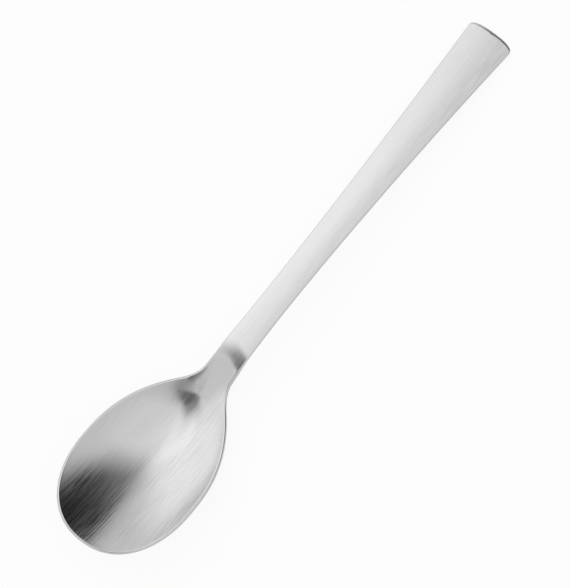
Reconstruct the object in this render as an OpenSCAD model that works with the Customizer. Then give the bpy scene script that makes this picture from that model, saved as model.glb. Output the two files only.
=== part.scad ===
// Dessert spoon, stamped from one piece of stainless steel.
// The spoon lies on a table: +X runs from the bowl's tip to the end of the handle and +Z is up.
// The origin is on the table, halfway along the spoon and on its centre line.
// The sheet is lofted from cross rows. Each row has a height at the centre line and one at the edge,
// and a thickness at both, so the section turns from a dish in the bowl to a crown on the handle.

/* [Overall] */
// Length from the tip of the bowl to the end of the handle
overall_length = 185; // [165:1:215]

/* [Bowl outline] */
// Length from the tip to where the two shoulders would meet on the centre line
bowl_length = 60.7; // [54:0.1:68]
// Width of the bowl at its widest, to the middle of the rim's thickness
bowl_width = 36.6; // [30:0.1:44]
// Distance from the tip to the widest place
tip_to_widest = 24.6; // [20:0.1:30]
// Fullness of the outline at the tip, where 2 is an ellipse and more is squarer
tip_fullness = 2.2; // [2:0.05:2.5]
// Fullness of the outline at the shoulders, where more stays wide for longer
shoulder_fullness = 2.4; // [2:0.05:3]

/* [Bowl depth] */
// Height of the rim at the tip, to the middle of its thickness
tip_height = 14; // [10:0.1:16]
// Height of the rim at the shoulders, to the middle of its thickness
shoulder_height = 5.2; // [4.5:0.1:7]
// Slope of the wall at the tip, in degrees
tip_wall_angle = 30; // [26:0.5:40]
// Slope of the rim at the tip, in degrees
tip_rim_angle = 4.1; // [0:0.1:10]
// Thickness of the sheet at the deepest place
bowl_thickness = 1.5; // [1:0.1:2.1]
// Thickness of the rim
rim_thickness = 1; // [0.8:0.1:1.6]

/* [Neck] */
// Distance from the shoulders' meeting place back to the heel, where the ramp to the neck starts
heel_setback = 6.5; // [4:0.1:9]
// Height of the sheet's middle at the heel
heel_height = 2.9; // [2.6:0.1:3.6]
// Distance from the heel to the deepest place of the bowl
heel_to_deepest = 12.2; // [9:0.1:14]
// Slope of the rim down towards the neck at the heel, in degrees
shoulder_dip_angle = 2.5; // [0:0.1:10]
// Slope of the straight ramp on the centre line, in degrees
ramp_angle = 24.2; // [20:0.1:27]
// Length of the crest, where the ramp bends over into the handle
crest_length = 6; // [3:0.1:10]
// How far the edges stand above the centre line at the foot of the crest
crest_dish = 0.3; // [0:0.05:0.8]
// Slope of the edges at the foot of the crest, in degrees
crest_edge_angle = 15; // [8:0.5:24]
// Height of the edges at the top of the neck, to the middle of their thickness
neck_height = 8.5; // [7.5:0.1:11]
// Width of the handle at the top of the neck
neck_width = 8.2; // [6.5:0.1:11]
// Thickness of the neck on the centre line
neck_thickness = 3; // [2.4:0.1:4]
// Thickness of the neck at its edges
neck_edge_thickness = 2.7; // [2:0.1:3.5]
// Width of the band over which the shoulders blend into the neck
neck_blend = 3.6; // [2:0.1:8]

/* [Handle] */
// Distance from the top of the neck to the waist, where the handle is narrowest
waist_setback = 15; // [8:0.5:30]
// Width of the handle at its waist
waist_width = 7.8; // [6:0.1:10]
// Width of the handle just before its end
end_width = 14.3; // [11:0.1:20]
// Power of the handle's widening, where 1 is a straight taper and more widens later
widening_power = 1.7; // [1:0.05:2.5]
// Thickness of the handle's end on the centre line
end_thickness = 2.2; // [1.6:0.1:3.2]
// Thickness of the handle's end at its edges
end_edge_thickness = 1.95; // [1.4:0.05:2.4]
// Downward slope of the handle at its end, in degrees
end_angle = 6.4; // [4:0.1:12]
// Length of the rounded end of the handle
end_cap_length = 2.4; // [1.6:0.1:5]
// Fullness of the rounded end, where 2 is an ellipse and more is squarer
end_fullness = 2.5; // [2:0.1:4]
// How far the rounding of the handle's end reaches into the sheet
end_rounding = 1.2; // [0.4:0.1:1.5]

/* [Edges] */
// How far the rounding of the other edges reaches into the sheet
edge_rounding = 0.35; // [0.2:0.05:0.6]
// Fullness of the rounded edges, where 2 is an ellipse and more is squarer
edge_fullness = 2.4; // [2:0.1:4]

/* [Hidden] */
steel = [0.76, 0.76, 0.76];

// Rows along the spoon and columns across it
tip_rows = 22;
shoulder_rows = 48;
handle_rows = 34;
end_rows = 9;
columns = 18;
edge_steps = 5;
// Angle at which the outline of the tip and of the end starts, off the centre line
first_angle = 2.5;

// Places along the spoon, from the tip
tip_at = edge_rounding;
heel_at = bowl_length - heel_setback;
deepest_at = heel_at - heel_to_deepest;
neck_crown = (neck_thickness - neck_edge_thickness) / 2;
ramp_rise = neck_height + neck_crown - heel_height - crest_length * tan(ramp_angle) / 2;
crest_at = heel_at + ramp_rise / tan(ramp_angle);
neck_at = crest_at + crest_length;
waist_at = neck_at + waist_setback;
cap_at = overall_length - end_cap_length;
end_at = overall_length - end_rounding;

// Height of the middle of the handle's rounded end that lies on the table with its downward slope
support_power = edge_fullness / (edge_fullness - 1);
function resting_height(thickness) =
    let (along = pow(end_rounding * sin(end_angle), support_power))
    let (across = pow(thickness / 2 * cos(end_angle), support_power))
    pow(along + across, 1 / support_power);

// Heights of the sheet's middle, as [place, height, slope]
// The underside touches the table at the deepest place and at the end of the handle
// From the top of the neck to the end of the handle the underside is flat from edge to edge
centre_line = [
    [tip_at, tip_height, -tan(tip_wall_angle)],
    [deepest_at, bowl_thickness / 2, 0],
    [heel_at, heel_height, tan(ramp_angle)],
    [crest_at, heel_height + ramp_rise, tan(ramp_angle)],
    [neck_at, neck_height + neck_crown, 0],
    [end_at, resting_height(end_thickness), -tan(end_angle)],
];
edge_line = [
    [tip_at, tip_height, -tan(tip_rim_angle)],
    [heel_at, shoulder_height, -tan(shoulder_dip_angle)],
    [crest_at, heel_height + ramp_rise + crest_dish, tan(crest_edge_angle)],
    [neck_at, neck_height, 0],
    [end_at, resting_height(end_edge_thickness), -tan(end_angle)],
];

// Thickness of the sheet, as [place, thickness, slope]
centre_thickness = [
    [tip_at, rim_thickness, 0],
    [deepest_at, bowl_thickness, 0],
    [neck_at, neck_thickness, 0],
    [end_at, end_thickness, 0],
];
edge_thickness = [
    [tip_at, rim_thickness, 0],
    [heel_at, rim_thickness, 0],
    [neck_at, neck_edge_thickness, 0],
    [end_at, end_edge_thickness, 0],
];

// Value at s on a cubic between two stations
function cubic(a, b, s) =
    let (span = b[0] - a[0], u = (s - a[0]) / span, v = 1 - u)
    v * v * (1 + 2 * u) * a[1] + u * u * (3 - 2 * u) * b[1] + span * u * v * (v * a[2] - u * b[2]);

// Value at s on a smooth line through its stations
function line_at(line, s, i = 0) =
    i < len(line) - 2 && s > line[i + 1][0] ? line_at(line, s, i + 1) : cubic(line[i], line[i + 1], s);

// Larger of two widths, with the corner between them rounded over a band
function smooth_max(a, b, band) =
    let (overlap = max(band - abs(a - b), 0))
    max(a, b) + overlap * overlap / (4 * band);

// Sine or cosine share of a rounded corner with a given fullness
function full(share, fullness) = pow(max(share, 0), 2 / fullness);

// Half the width of the bowl behind its widest place, of the handle, and of both blended
function bowl_half(s) =
    let (share = max(s - tip_to_widest, 0) / (bowl_length - tip_to_widest))
    bowl_width / 2 * (1 - pow(share, shoulder_fullness));
function handle_half(s) =
    let (before = max(waist_at - s, 0) / waist_setback)
    let (after = max(s - waist_at, 0) / (overall_length - waist_at))
    let (towards_neck = (neck_width - waist_width) * pow(before, 2))
    let (towards_end = (end_width - waist_width) * pow(after, widening_power))
    (waist_width + towards_neck + towards_end) / 2;
function body_half(s) = smooth_max(bowl_half(s), handle_half(s), neck_blend);

// Outline of the right-hand side up to the rounded end, as [place, half width]
tip_outline = [
    for (k = [0 : tip_rows - 1])
    let (a = first_angle + (90 - first_angle) * k / tip_rows)
    [tip_to_widest * (1 - full(cos(a), tip_fullness)), bowl_width / 2 * full(sin(a), tip_fullness)]
];
shoulder_outline = [
    for (k = [0 : shoulder_rows - 1])
    let (s = tip_to_widest + (neck_at - tip_to_widest) * k / shoulder_rows)
    [s, body_half(s)]
];
handle_outline = [
    for (k = [0 : handle_rows - 1])
    let (s = neck_at + (cap_at - neck_at) * k / handle_rows)
    [s, body_half(s)]
];
side = concat(tip_outline, shoulder_outline, handle_outline);

// Reach of the rounded edge square to the outline, from the neighbouring places
function side_reach(i) =
    let (before = i > 0 ? side[i - 1] : [side[0][0], -side[0][1]])
    let (after = i < len(side) - 1 ? side[i + 1] : [cap_at, handle_half(cap_at)])
    let (along = after - before)
    edge_rounding * [-along[1], along[0]] / norm(along);

// Rows of the sheet's middle, drawn in from the outline by the reach of the rounded edge,
// as [place, half width, share of the width that the rounded end leaves, reach]
side_rows = [
    for (i = [0 : len(side) - 1])
    let (p = side[i], reach = side_reach(i))
    [p[0] - reach[0], p[1] - reach[1], 1, reach]
];
end_cap_rows = [
    for (k = [0 : end_rows])
    let (a = (90 - first_angle) * k / end_rows)
    let (along = full(sin(a), end_fullness), share = full(cos(a), end_fullness))
    let (s = cap_at + end_cap_length * along, reach = [end_rounding * along, edge_rounding * share])
    [s - reach[0], handle_half(s) * share - reach[1], share, reach]
];
rows = concat(side_rows, end_cap_rows);
last = len(rows) - 1;

// Value over a row at y off the centre line, blended by the square of y from the centre line to the edge
function edge_share(row, y) = pow(y * row[2] / row[1], 2);
function blended(centre, edge, row, y) =
    let (share = edge_share(row, y))
    line_at(centre, row[0]) * (1 - share) + line_at(edge, row[0]) * share;
function height_at(row, y) = blended(centre_line, edge_line, row, y);
spread = [for (j = [0 : columns]) 2 * j / columns - 1];
middle = [for (row = rows) [for (v = spread) [row[0], v * row[1], height_at(row, v * row[1])]]];
half_thickness = [
    for (row = rows)
    [for (v = spread) blended(centre_thickness, edge_thickness, row, v * row[1]) / 2]
];

// Unit normal of the sheet's middle, from its slopes along and across the spoon
function unit(v) = v / norm(v);
function normal_at(i, y) =
    let (row = rows[i], before = rows[max(i - 1, 0)], after = rows[min(i + 1, last)])
    let (along = (height_at(after, y) - height_at(before, y)) / (after[0] - before[0]))
    let (dish = line_at(edge_line, row[0]) - line_at(centre_line, row[0]))
    let (across = 2 * y * pow(row[2] / row[1], 2) * dish)
    unit([-along, -across, 1]);
normals = [for (i = [0 : last]) [for (p = middle[i]) normal_at(i, p[1])]];

// Point on the face of the sheet, where face is 1 for the top and -1 for the underside
function face_point(i, j, face) = middle[i][j] + face * half_thickness[i][j] * normals[i][j];

// Points round an edge from the top to the underside, where hand is 1 for the right and -1 for the left
function edge_points(i, hand) =
    let (j = hand > 0 ? columns : 0, normal = normals[i][j])
    let (reach = rows[i][3], plan = [reach[0], hand * reach[1], 0])
    let (out = norm(reach) * unit(plan - (plan * normal) * normal))
    [
        for (k = [1 : edge_steps])
        let (a = 90 - 180 * k / (edge_steps + 1))
        middle[i][j]
            + full(cos(a), edge_fullness) * out
            + sign(a) * half_thickness[i][j] * full(abs(sin(a)), edge_fullness) * normal
    ];
function reversed(list) = [for (k = [len(list) - 1 : -1 : 0]) list[k]];

// Closed section at a row: top from left to right, right edge, underside from right to left, left edge
function section(i) = concat(
    [for (j = [0 : columns]) face_point(i, j, 1)],
    edge_points(i, 1),
    [for (j = [columns : -1 : 0]) face_point(i, j, -1)],
    reversed(edge_points(i, -1))
);
ring = 2 * (columns + 1) + 2 * edge_steps;

// Faces between neighbouring sections
side_faces = [
    for (i = [0 : last - 1], k = [0 : ring - 1])
    let (a = i * ring + k, b = i * ring + (k + 1) % ring)
    each [[a, b, b + ring], [a, b + ring, a + ring]]
];

// Faces that close a section at the tip or the end, in strips from its left edge to its right edge
function left_at(k) = k == 0 ? 0 : ring - k;
function right_at(k) = columns + k;
strips = [
    for (k = [0 : edge_steps])
    concat(
        [left_at(k)],
        k == 0 ? [for (j = [1 : columns - 1]) j] : [],
        [right_at(k), right_at(k + 1)],
        k == edge_steps ? [for (j = [1 : columns - 1]) right_at(k + 1) + j] : [],
        [left_at(k + 1)]
    )
];
tip_faces = [for (strip = strips) reversed(strip)];
end_faces = [for (strip = strips) [for (k = strip) last * ring + k]];

module spoon() {
    color(steel)
    translate([-overall_length / 2, 0, 0])
    polyhedron(
        points = [for (i = [0 : last]) each section(i)],
        faces = concat(tip_faces, side_faces, end_faces),
        convexity = 6
    );
}

spoon();
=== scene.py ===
import math
import bpy
import numpy as np
from mathutils import Matrix, Vector


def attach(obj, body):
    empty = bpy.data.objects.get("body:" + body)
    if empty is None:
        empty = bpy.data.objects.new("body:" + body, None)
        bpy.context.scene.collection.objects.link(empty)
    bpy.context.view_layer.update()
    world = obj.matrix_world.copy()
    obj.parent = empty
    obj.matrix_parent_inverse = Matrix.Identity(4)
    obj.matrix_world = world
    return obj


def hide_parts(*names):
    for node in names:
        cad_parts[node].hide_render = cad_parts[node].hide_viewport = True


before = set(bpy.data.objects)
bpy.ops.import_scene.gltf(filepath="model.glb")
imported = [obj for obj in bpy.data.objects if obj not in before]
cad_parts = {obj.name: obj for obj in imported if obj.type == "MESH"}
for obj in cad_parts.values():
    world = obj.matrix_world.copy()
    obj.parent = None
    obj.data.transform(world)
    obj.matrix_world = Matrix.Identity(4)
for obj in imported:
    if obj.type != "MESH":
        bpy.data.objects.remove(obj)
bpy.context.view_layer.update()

MM = 0.001

# Sizes of the spoon in millimetres, the same as the solid's
overall_length = 185
bowl_length = 60.7
bowl_width = 36.6
tip_to_widest = 24.6
tip_fullness = 2.2
shoulder_fullness = 2.4
tip_height = 14
shoulder_height = 5.2
tip_wall_angle = 30
tip_rim_angle = 4.1
bowl_thickness = 1.5
rim_thickness = 1
heel_setback = 6.5
heel_height = 2.9
heel_to_deepest = 12.2
shoulder_dip_angle = 2.5
ramp_angle = 24.2
crest_length = 6
crest_dish = 0.3
crest_edge_angle = 15
neck_height = 8.5
neck_width = 8.2
neck_thickness = 3
neck_edge_thickness = 2.7
neck_blend = 3.6
waist_setback = 15
waist_width = 7.8
end_width = 14.3
widening_power = 1.7
end_thickness = 2.2
end_edge_thickness = 1.95
end_angle = 6.4
end_cap_length = 2.4
end_fullness = 2.5
end_rounding = 1.2
edge_rounding = 0.35
edge_fullness = 2.4

# Rows along the spoon, columns across it and steps round its edges
tip_rows = 70
shoulder_rows = 120
handle_rows = 90
end_rows = 28
columns = 72
edge_steps = 11

# Angle at which the outline of the tip and of the end starts, off the centre line, in degrees
first_angle = 0.8


def slope(degrees):
    """Rise over run of a slope given in degrees."""
    return math.tan(math.radians(degrees))


# Places along the spoon, from the tip
tip_at = edge_rounding
heel_at = bowl_length - heel_setback
deepest_at = heel_at - heel_to_deepest
neck_crown = (neck_thickness - neck_edge_thickness) / 2
ramp_rise = neck_height + neck_crown - heel_height - crest_length * slope(ramp_angle) / 2
crest_at = heel_at + ramp_rise / slope(ramp_angle)
neck_at = crest_at + crest_length
waist_at = neck_at + waist_setback
cap_at = overall_length - end_cap_length
end_at = overall_length - end_rounding


def resting_height(thickness):
    """Height of the middle of the handle's rounded end that lies on the table with its downward slope."""
    angle = math.radians(end_angle)
    power = edge_fullness / (edge_fullness - 1)
    reach = (end_rounding * math.sin(angle)) ** power + (thickness / 2 * math.cos(angle)) ** power
    return reach ** (1 / power)


# Heights and thicknesses of the sheet, as (place, value, slope)
CENTRE_LINE = [
    (tip_at, tip_height, -slope(tip_wall_angle)),
    (deepest_at, bowl_thickness / 2, 0),
    (heel_at, heel_height, slope(ramp_angle)),
    (crest_at, heel_height + ramp_rise, slope(ramp_angle)),
    (neck_at, neck_height + neck_crown, 0),
    (end_at, resting_height(end_thickness), -slope(end_angle)),
]
EDGE_LINE = [
    (tip_at, tip_height, -slope(tip_rim_angle)),
    (heel_at, shoulder_height, -slope(shoulder_dip_angle)),
    (crest_at, heel_height + ramp_rise + crest_dish, slope(crest_edge_angle)),
    (neck_at, neck_height, 0),
    (end_at, resting_height(end_edge_thickness), -slope(end_angle)),
]
CENTRE_THICKNESS = [
    (tip_at, rim_thickness, 0),
    (deepest_at, bowl_thickness, 0),
    (neck_at, neck_thickness, 0),
    (end_at, end_thickness, 0),
]
EDGE_THICKNESS = [
    (tip_at, rim_thickness, 0),
    (heel_at, rim_thickness, 0),
    (neck_at, neck_edge_thickness, 0),
    (end_at, end_edge_thickness, 0),
]


def line_at(line, place):
    """Values at places along a smooth line of cubics through its stations."""
    result = np.zeros_like(place)
    for station, following in zip(line[:-1], line[1:]):
        start, start_value, start_slope = station
        stop, stop_value, stop_slope = following
        span = stop - start
        done = (place - start) / span
        left = 1 - done
        value = left ** 2 * (1 + 2 * done) * start_value + done ** 2 * (1 + 2 * left) * stop_value
        value += span * done * left * (left * start_slope - done * stop_slope)
        result = np.where((place > start) | (station == line[0]), value, result)
    return result


def full(share, fullness):
    """Sine or cosine share of a rounded corner with a given fullness."""
    return np.power(np.maximum(share, 0), 2 / fullness)


def handle_half(place):
    """Half the width of the handle, which narrows to the waist and widens from there to its end."""
    before = np.maximum(waist_at - place, 0) / waist_setback
    after = np.maximum(place - waist_at, 0) / (overall_length - waist_at)
    extra = (neck_width - waist_width) * before ** 2 + (end_width - waist_width) * after ** widening_power
    return (waist_width + extra) / 2


def body_half(place):
    """Half the width behind the bowl's widest place, with the shoulders blended into the handle."""
    share = np.maximum(place - tip_to_widest, 0) / (bowl_length - tip_to_widest)
    bowl = bowl_width / 2 * (1 - share ** shoulder_fullness)
    handle = handle_half(place)
    overlap = np.maximum(neck_blend - np.abs(bowl - handle), 0)
    return np.maximum(bowl, handle) + overlap * overlap / (4 * neck_blend)


def length_of(vectors):
    """Lengths of vectors, kept as a last axis of one."""
    return np.linalg.norm(vectors, axis=-1, keepdims=True)


def unit(vectors):
    """Vectors brought to a length of one."""
    return vectors / length_of(vectors)


def side_outline():
    """Outline of the side up to the rounded end, as rows of place and half width."""
    angles = np.radians(first_angle + (90 - first_angle) * np.arange(tip_rows) / tip_rows)
    tip = tip_to_widest * (1 - full(np.cos(angles), tip_fullness))
    tip_half = bowl_width / 2 * full(np.sin(angles), tip_fullness)
    shoulder = tip_to_widest + (neck_at - tip_to_widest) * np.arange(shoulder_rows) / shoulder_rows
    handle = neck_at + (cap_at - neck_at) * np.arange(handle_rows) / handle_rows
    body = np.concatenate([shoulder, handle])
    return np.stack([np.concatenate([tip, body]), np.concatenate([tip_half, body_half(body)])], -1)


def sheet_rows():
    """Rows of the sheet, drawn in from the outline by the reach of the rounded edge.

    They are given as place, half width, share of the width that the rounded end leaves, and reach.
    """
    side = side_outline()
    before = np.concatenate([side[:1] * (1, -1), side[:-1]])
    after = np.concatenate([side[1:], [(cap_at, handle_half(cap_at))]])
    along = unit(after - before)
    side_reach = edge_rounding * np.stack([-along[:, 1], along[:, 0]], -1)

    angles = np.radians((90 - first_angle) * np.arange(end_rows + 1) / end_rows)
    end_along = full(np.sin(angles), end_fullness)
    end_share = full(np.cos(angles), end_fullness)
    end_place = cap_at + end_cap_length * end_along
    end = np.stack([end_place, handle_half(end_place) * end_share], -1)
    end_reach = np.stack([end_rounding * end_along, edge_rounding * end_share], -1)

    reach = np.concatenate([side_reach, end_reach])
    drawn_in = np.concatenate([side, end]) - reach
    share = np.concatenate([np.ones(len(side)), end_share])
    return drawn_in[:, 0], drawn_in[:, 1], share, reach


def loft():
    """Sections of the spoon as an array of rows, points round the section, and x y z."""
    place, half_width, share, reach = sheet_rows()
    spread = np.linspace(-1, 1, columns + 1)
    y = spread[None, :] * half_width[:, None]
    narrowing = (share / half_width)[:, None]

    def blended(centre, edge, row):
        at_centre = line_at(centre, place[row])[:, None]
        at_edge = line_at(edge, place[row])[:, None]
        edge_share = (y * narrowing[row]) ** 2
        return at_centre * (1 - edge_share) + at_edge * edge_share

    rows = np.arange(len(place))
    before = np.maximum(rows - 1, 0)
    after = np.minimum(rows + 1, rows[-1])
    height = blended(CENTRE_LINE, EDGE_LINE, rows)
    middle = np.stack([np.broadcast_to(place[:, None], y.shape), y, height], -1)
    half_thickness = blended(CENTRE_THICKNESS, EDGE_THICKNESS, rows)[..., None] / 2
    rise = blended(CENTRE_LINE, EDGE_LINE, after) - blended(CENTRE_LINE, EDGE_LINE, before)
    slope_along = rise / (place[after] - place[before])[:, None]
    dish = (line_at(EDGE_LINE, place) - line_at(CENTRE_LINE, place))[:, None]
    slope_across = 2 * y * narrowing ** 2 * dish
    normal = unit(np.stack([-slope_along, -slope_across, np.ones_like(y)], -1))
    top = middle + half_thickness * normal
    under = middle - half_thickness * normal

    def edge(column, hand):
        plan = np.stack([reach[:, 0], hand * reach[:, 1], np.zeros_like(place)], -1)
        facing = normal[:, column]
        out = unit(plan - (plan * facing).sum(-1, keepdims=True) * facing) * length_of(reach)
        angles = np.pi / 2 - np.pi * np.arange(1, edge_steps + 1) / (edge_steps + 1)
        outward = full(np.cos(angles), edge_fullness)[None, :, None]
        upward = (np.sign(angles) * full(np.abs(np.sin(angles)), edge_fullness))[None, :, None]
        raised = upward * half_thickness[:, column, None] * facing[:, None]
        return middle[:, column, None] + outward * out[:, None] + raised

    points = np.concatenate([top, edge(columns, 1), under[:, ::-1], edge(0, -1)[:, ::-1]], 1)
    points[..., 0] -= overall_length / 2
    return points * MM


def loft_faces(rows, ring):
    """Faces between neighbouring sections, and strips from edge to edge that close the tip and the end."""
    grid = np.arange(rows * ring).reshape(rows, ring)
    turned = np.roll(grid, -1, 1)
    faces = np.stack([grid[:-1], grid[1:], turned[1:], turned[:-1]], -1).reshape(-1, 4).tolist()

    left = np.concatenate([[0], np.arange(ring - 1, ring - 2 - edge_steps, -1)])
    right = columns + np.arange(edge_steps + 2)
    strips = []
    for step in range(edge_steps + 1):
        strip = [left[step]]
        if step == 0:
            strip += range(1, columns)
        strip += [right[step], right[step + 1]]
        if step == edge_steps:
            strip += range(right[step + 1] + 1, left[step + 1])
        strips.append([int(point) for point in strip + [left[step + 1]]])
    faces += strips
    faces += [[point + (rows - 1) * ring for point in reversed(strip)] for strip in strips]
    return [face[::-1] for face in faces]


def spoon_mesh():
    """Closed mesh of the spoon, with a map whose first axis runs across the sheet and second along it."""
    points = loft()
    mesh = bpy.data.meshes.new("spoon_body")
    mesh.from_pydata(points.reshape(-1, 3).tolist(), [], loft_faces(*points.shape[:2]))
    step = length_of(np.roll(points, -1, 1) - points)[..., 0]
    across = np.cumsum(step, 1) - step
    across -= across[:, columns // 2][:, None]
    along = points[..., 0]
    layer = mesh.uv_layers.new(name="brush")
    loops = np.zeros(len(mesh.loops), dtype=np.int32)
    mesh.loops.foreach_get("vertex_index", loops)
    brush = np.stack([across.reshape(-1)[loops], along.reshape(-1)[loops]], -1)
    layer.data.foreach_set("uv", brush.reshape(-1))
    mesh.shade_smooth()
    mesh.validate()
    return mesh


def node(tree, kind, **values):
    """New node with its properties and the values of its inputs set by name."""
    made = tree.nodes.new(kind)
    for name, value in values.items():
        if hasattr(made, name):
            setattr(made, name, value)
        else:
            made.inputs[name].default_value = value
    return made


# Brush lines: sizes of their grains across and along, share of the broad ones, noise and height as a bump
fine_grain = (0.2 * MM, 8 * MM)
broad_grain = (0.45 * MM, 12 * MM)
broad_share = 0.4
grain_detail = 1.0
grain_roughness = 0.5
line_bump = 0.015 * MM

# Brushed steel, whose roughness follows the levels of the lines
steel_grey = 0.58
steel_anisotropy = 0.78
line_levels = (0.45, 0.55)
steel_roughness = (0.04, 0.20)

# How far the lines change the grey, in general and on the right of the bowl, and where they get heavier
line_depths = (0.055, 0.16)
heavier_across = (2 * MM, -5 * MM)
heavier_along = (-28 * MM, -42 * MM)


def brush_place(tree):
    """Place on the map that follows the brush lines."""
    return node(tree, "ShaderNodeUVMap", uv_map="brush").outputs[0]


def stretched_noise(tree, across, along):
    """Noise drawn out along the brush lines, where across and along are the sizes of its grains in metres."""
    scaled = node(tree, "ShaderNodeVectorMath", operation="MULTIPLY")
    scaled.inputs[1].default_value = (1 / across, 1 / along, 0)
    tree.links.new(brush_place(tree), scaled.inputs[0])
    noise = node(tree, "ShaderNodeTexNoise", noise_dimensions="2D", Scale=1.0)
    noise.inputs["Detail"].default_value = grain_detail
    noise.inputs["Roughness"].default_value = grain_roughness
    tree.links.new(scaled.outputs[0], noise.inputs["Vector"])
    return noise.outputs["Fac"]


def ranged(tree, value, source, target):
    """Value taken from one range to another."""
    made = node(tree, "ShaderNodeMapRange")
    made.inputs["From Min"].default_value, made.inputs["From Max"].default_value = source
    made.inputs["To Min"].default_value, made.inputs["To Max"].default_value = target
    tree.links.new(value, made.inputs["Value"])
    return made.outputs[0]


def brush_lines(tree):
    """Fine and broad brush lines in one value from 0 to 1."""
    lines = node(tree, "ShaderNodeMix", data_type="FLOAT", Factor=broad_share)
    tree.links.new(stretched_noise(tree, *fine_grain), lines.inputs[2])
    tree.links.new(stretched_noise(tree, *broad_grain), lines.inputs[3])
    return lines.outputs[0]


def line_depth(tree):
    """How far the lines change the grey, which is more on the right of the bowl."""
    axes = node(tree, "ShaderNodeSeparateXYZ")
    tree.links.new(brush_place(tree), axes.inputs[0])
    heavy = node(tree, "ShaderNodeMath", operation="MULTIPLY")
    tree.links.new(ranged(tree, axes.outputs[0], heavier_across, (0, 1)), heavy.inputs[0])
    tree.links.new(ranged(tree, axes.outputs[1], heavier_along, (0, 1)), heavy.inputs[1])
    return ranged(tree, heavy.outputs[0], (0, 1), line_depths)


def brushed_steel():
    """Steel whose brush lines change its grey and roughness and stretch its reflections."""
    material = bpy.data.materials.new("brushed_steel")
    material.use_nodes = True
    tree = material.node_tree
    tree.nodes.clear()
    link = tree.links.new
    shader = node(tree, "ShaderNodeBsdfPrincipled", Metallic=1.0, Anisotropic=steel_anisotropy)
    tangent = node(tree, "ShaderNodeTangent", direction_type="UV_MAP", uv_map="brush")
    link(tangent.outputs[0], shader.inputs["Tangent"])

    lines = brush_lines(tree)
    link(ranged(tree, lines, line_levels, steel_roughness), shader.inputs["Roughness"])
    grey = node(tree, "ShaderNodeMath", operation="MULTIPLY_ADD")
    link(ranged(tree, lines, (0, 1), (-1, 1)), grey.inputs[0])
    link(line_depth(tree), grey.inputs[1])
    grey.inputs[2].default_value = steel_grey
    link(grey.outputs[0], shader.inputs["Base Color"])
    bump = node(tree, "ShaderNodeBump", Strength=1.0, Distance=line_bump)
    link(lines, bump.inputs["Height"])
    link(bump.outputs[0], shader.inputs["Normal"])

    output = node(tree, "ShaderNodeOutputMaterial")
    link(shader.outputs[0], output.inputs["Surface"])
    return material


# Photograph's size in pixels, the pixel where it shows the spoon's origin and the scale there
image_width = 570
image_height = 588
origin_pixel = (291.6, 288.4)
pixels_per_metre = 3633

# Camera as fitted to the photograph's outline, with its tilt off straight down and its distance in metres
camera_turn = math.radians(52.32)
camera_tilt = math.radians(14.02)
camera_distance = 1.144

# Camera's sensor in millimetres
sensor_size = 36

# Directions of the picture: its right, its top along the floor, out of it and its top
right = Vector((math.cos(camera_turn), -math.sin(camera_turn), 0))
away = Vector((math.sin(camera_turn), math.cos(camera_turn), 0))
back = Vector((0, 0, 1)) * math.cos(camera_tilt) - away * math.sin(camera_tilt)
up = back.cross(right)

# Floor, with its reach in metres, and how far each kind of ray sees it as plain white
floor_reach = 3.0
floor_colour = (0.95, 0.95, 0.95, 1)
floor_whiteness = {"Is Camera Ray": 0.9, "Is Glossy Ray": 0.4, "Is Transmission Ray": 0.2}


def add_camera():
    """Camera with the photograph's view."""
    data = bpy.data.cameras.new("camera")
    data.sensor_width = sensor_size
    data.lens = sensor_size * pixels_per_metre * camera_distance / image_height
    camera = bpy.data.objects.new("camera", data)
    bpy.context.scene.collection.objects.link(camera)
    pan = right * (image_width / 2 - origin_pixel[0]) - up * (image_height / 2 - origin_pixel[1])
    place = back * camera_distance + pan / pixels_per_metre
    turn = Matrix((right, up, back)).transposed().to_4x4()
    camera.matrix_world = Matrix.Translation(place) @ turn
    bpy.context.scene.camera = camera


def pale_floor():
    """Pale material that keeps shadows and is partly plain white to the rays named above."""
    material = bpy.data.materials.new("floor")
    material.use_nodes = True
    tree = material.node_tree
    tree.nodes.clear()
    link = tree.links.new
    diffuse = node(tree, "ShaderNodeBsdfDiffuse", Color=floor_colour)
    white = node(tree, "ShaderNodeEmission", Strength=1.0)
    path = node(tree, "ShaderNodeLightPath")
    share = None
    for ray, whiteness in floor_whiteness.items():
        part = node(tree, "ShaderNodeMath", operation="MULTIPLY_ADD")
        link(path.outputs[ray], part.inputs[0])
        part.inputs[1].default_value = whiteness
        part.inputs[2].default_value = 0
        if share:
            link(share, part.inputs[2])
        share = part.outputs[0]
    mix = node(tree, "ShaderNodeMixShader")
    link(share, mix.inputs[0])
    link(diffuse.outputs[0], mix.inputs[1])
    link(white.outputs[0], mix.inputs[2])
    output = node(tree, "ShaderNodeOutputMaterial")
    link(mix.outputs[0], output.inputs["Surface"])
    return material


def add_floor():
    """Plain floor under the spoon."""
    mesh = bpy.data.meshes.new("floor")
    corners = [(-1, -1), (1, -1), (1, 1), (-1, 1)]
    mesh.from_pydata([(x * floor_reach, y * floor_reach, 0) for x, y in corners], [], [(0, 1, 2, 3)])
    mesh.materials.append(pale_floor())
    floor = bpy.data.objects.new("floor", mesh)
    bpy.context.scene.collection.objects.link(floor)


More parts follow.
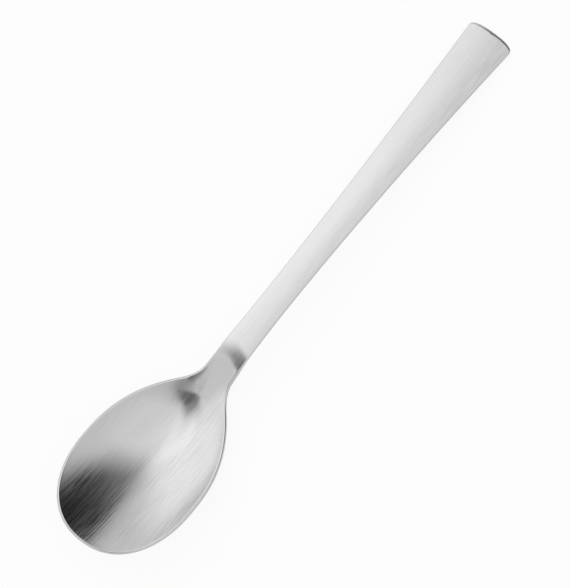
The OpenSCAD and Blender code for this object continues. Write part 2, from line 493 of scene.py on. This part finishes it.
# Studio round the spoon, where each patch is laid over the ones before it
# All but the light wall come from a fit to the photograph's shading and are rounded, angles to half a degree
# The names say what could stand there
# Place: degrees off straight up, towards the picture's right and its top
# Reach: degrees from the middle to the edge, along the patch and across it
# Turn: degrees from the picture's right to the patch's length
# Softness: share of the reach over which the edge fades to both sides
wall_brightness = 0.805
background_brightness = 1.0
STUDIO = {
    "dark wall": dict(place=(48, 36.5), reach=(52.5, 24), turn=43, softness=0.58, brightness=0.01),
    "lamp": dict(place=(-8.5, -0.5), reach=(17.5, 34.5), turn=-4, softness=0.3, brightness=1.96),
    "window": dict(place=(-57, 15), reach=(51.5, 22.5), turn=43, softness=0.16, brightness=1.32),
    "screen": dict(place=(29.5, -7.5), reach=(24, 29.5), turn=58.5, softness=0.41, brightness=1),
    "glow": dict(place=(-12.5, 3.5), reach=(31.5, 19.5), turn=46.5, softness=0.94, brightness=1.21),
    "stand's end": dict(place=(-4.5, -34.5), reach=(33, 14.5), turn=-73, softness=0.39, brightness=0.37),
    "dark stand": dict(place=(-4, -47), reach=(26.5, 16), turn=-79, softness=0.12, brightness=0.2),
    "light strip": dict(place=(-21, -33.5), reach=(25, 3), turn=-35, softness=0.75, brightness=0.92),
    "low wall": dict(place=(-8, -98.5), reach=(68.5, 36), turn=37.5, softness=0.46, brightness=0.86),
    "dark gap": dict(place=(38.5, 66), reach=(6, 25), turn=-27, softness=0.38, brightness=0.07),
    "light wall": dict(place=(15, 83.5), reach=(17, 17), turn=0, softness=0.2, brightness=0.9),
}


def towards(right_degrees, away_degrees):
    """Direction off straight up, in degrees towards the picture's right and its top."""
    polar = math.radians(math.hypot(right_degrees, away_degrees))
    level = (right * right_degrees + away * away_degrees).normalized()
    return Vector((0, 0, 1)) * math.cos(polar) + level * math.sin(polar)


def add_patch(tree, direction, below, place, reach, turn, softness, brightness):
    """Rounded square patch of the studio with its own brightness, laid over what is below it."""
    link = tree.links.new
    outward = towards(*place)
    first = right * math.cos(math.radians(turn)) + away * math.sin(math.radians(turn))
    second = outward.cross(first).normalized()
    first = second.cross(outward)
    turned = Matrix((first, second, outward)).transposed().to_euler()
    chords = [2 * math.sin(math.radians(angle) / 2) for angle in (*reach, max(reach))]
    mapping = node(tree, "ShaderNodeMapping", vector_type="TEXTURE", Location=outward, Scale=chords)
    mapping.inputs["Rotation"].default_value = turned
    link(direction, mapping.inputs["Vector"])
    squares = node(tree, "ShaderNodeVectorMath", operation="MULTIPLY")
    link(mapping.outputs[0], squares.inputs[0])
    link(mapping.outputs[0], squares.inputs[1])
    length = node(tree, "ShaderNodeVectorMath", operation="LENGTH")
    link(squares.outputs[0], length.inputs[0])
    distance = node(tree, "ShaderNodeMath", operation="SQRT")
    link(length.outputs["Value"], distance.inputs[0])
    share = node(tree, "ShaderNodeMapRange", interpolation_type="SMOOTHSTEP")
    share.inputs["From Min"].default_value = 1 + softness
    share.inputs["From Max"].default_value = 1 - softness
    link(distance.outputs[0], share.inputs["Value"])
    mix = node(tree, "ShaderNodeMix", data_type="FLOAT")
    link(share.outputs[0], mix.inputs[0])
    link(below, mix.inputs[2])
    mix.inputs[3].default_value = brightness
    return mix.outputs[0]


def add_world():
    """Studio of grey walls and patches, which the camera itself sees as plain white."""
    world = bpy.data.worlds.new("studio")
    bpy.context.scene.world = world
    world.use_nodes = True
    tree = world.node_tree
    tree.nodes.clear()
    link = tree.links.new
    direction = node(tree, "ShaderNodeTexCoord").outputs["Generated"]
    walls = node(tree, "ShaderNodeValue")
    walls.outputs[0].default_value = wall_brightness
    level = walls.outputs[0]
    for patch in STUDIO.values():
        level = add_patch(tree, direction, level, **patch)
    path = node(tree, "ShaderNodeLightPath")
    seen = node(tree, "ShaderNodeMix", data_type="FLOAT")
    link(path.outputs["Is Camera Ray"], seen.inputs[0])
    link(level, seen.inputs[2])
    seen.inputs[3].default_value = background_brightness
    background = node(tree, "ShaderNodeBackground")
    background.inputs["Color"].default_value = (1, 1, 1, 1)
    link(seen.outputs[0], background.inputs["Strength"])
    output = node(tree, "ShaderNodeOutputWorld")
    link(background.outputs[0], output.inputs["Surface"])


# Scene
add_camera()
add_floor()
add_world()
spoon = bpy.data.objects.new("spoon_body", spoon_mesh())
bpy.context.scene.collection.objects.link(spoon)
spoon.data.materials.append(brushed_steel())
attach(spoon, "root")
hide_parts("spoon")

bpy.context.scene.view_settings.view_transform = "Standard"
